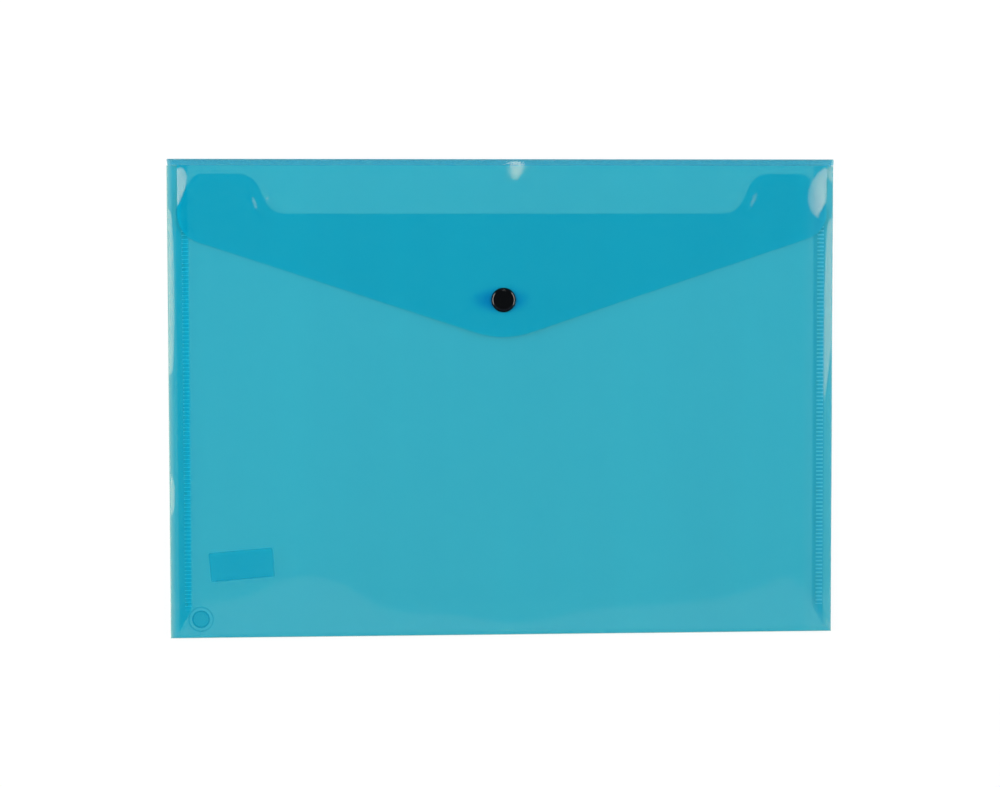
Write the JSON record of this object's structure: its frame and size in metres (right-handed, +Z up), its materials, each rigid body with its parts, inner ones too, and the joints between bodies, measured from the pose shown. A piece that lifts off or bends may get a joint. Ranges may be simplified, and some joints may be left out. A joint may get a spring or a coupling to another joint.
{
  "type": "document wallet",
  "caption": "Flat translucent plastic wallet for loose papers, with folded and welded side seams, a pointed flap on a creased top fold and a round press stud that holds it shut.",
  "frame": {"origin": "middle of the wallet's underside as it lies on its back, on the surface that it rests on", "axes": "+X along the long edge, to the right as seen from the flap's side; +Y towards the folded top edge; +Z up, through the pocket towards the flap"},
  "size_m": [0.335, 0.24, 0.0096],
  "materials": {
    "sheet": "translucent blue polypropylene sheet, smooth and slightly hazy",
    "weld": "ribbed ultrasonic weld in the same polypropylene",
    "stud": "black moulded plastic, glossy",
    "label": "clear blue film, blank"
  },
  "bodies": {
    "pocket": {"back_panel": "sheet", "front_panel": "sheet", "bottom_fold": "sheet", "right_side_fold": "sheet", "left_side_fold": "sheet", "right_weld_tab": "sheet", "left_weld_tab": "sheet", "right_weld_seam": "weld", "left_weld_seam": "weld", "lower_crease": "sheet", "ball_stud": "stud", "stud_backing": "stud", "blank_label": "label", "round_mark": "label"},
    "spine": {"spine_strip": "sheet", "upper_crease": "sheet"},
    "flap": {"flap_panel": "sheet", "stud_cap": "stud", "stud_socket": "stud"}
  },
  "joints": [
    {"name": "spine_fold", "type": "hinge", "parent": "pocket", "child": "spine", "pos_m": [0, 0.1168, 0.0032], "axis": [-1, 0, 0], "range_deg": [0, 89], "deforming": ["lower_crease"]},
    {"name": "flap_fold", "type": "hinge", "parent": "spine", "child": "flap", "pos_m": [0, 0.1168, 0.0048], "axis": [-1, 0, 0], "range_deg": [0, 89], "deforming": ["upper_crease"]}
  ],
  "couplings": [
    {"joint": "spine_fold", "follows": "flap_fold", "ratio": 1}
  ]
}
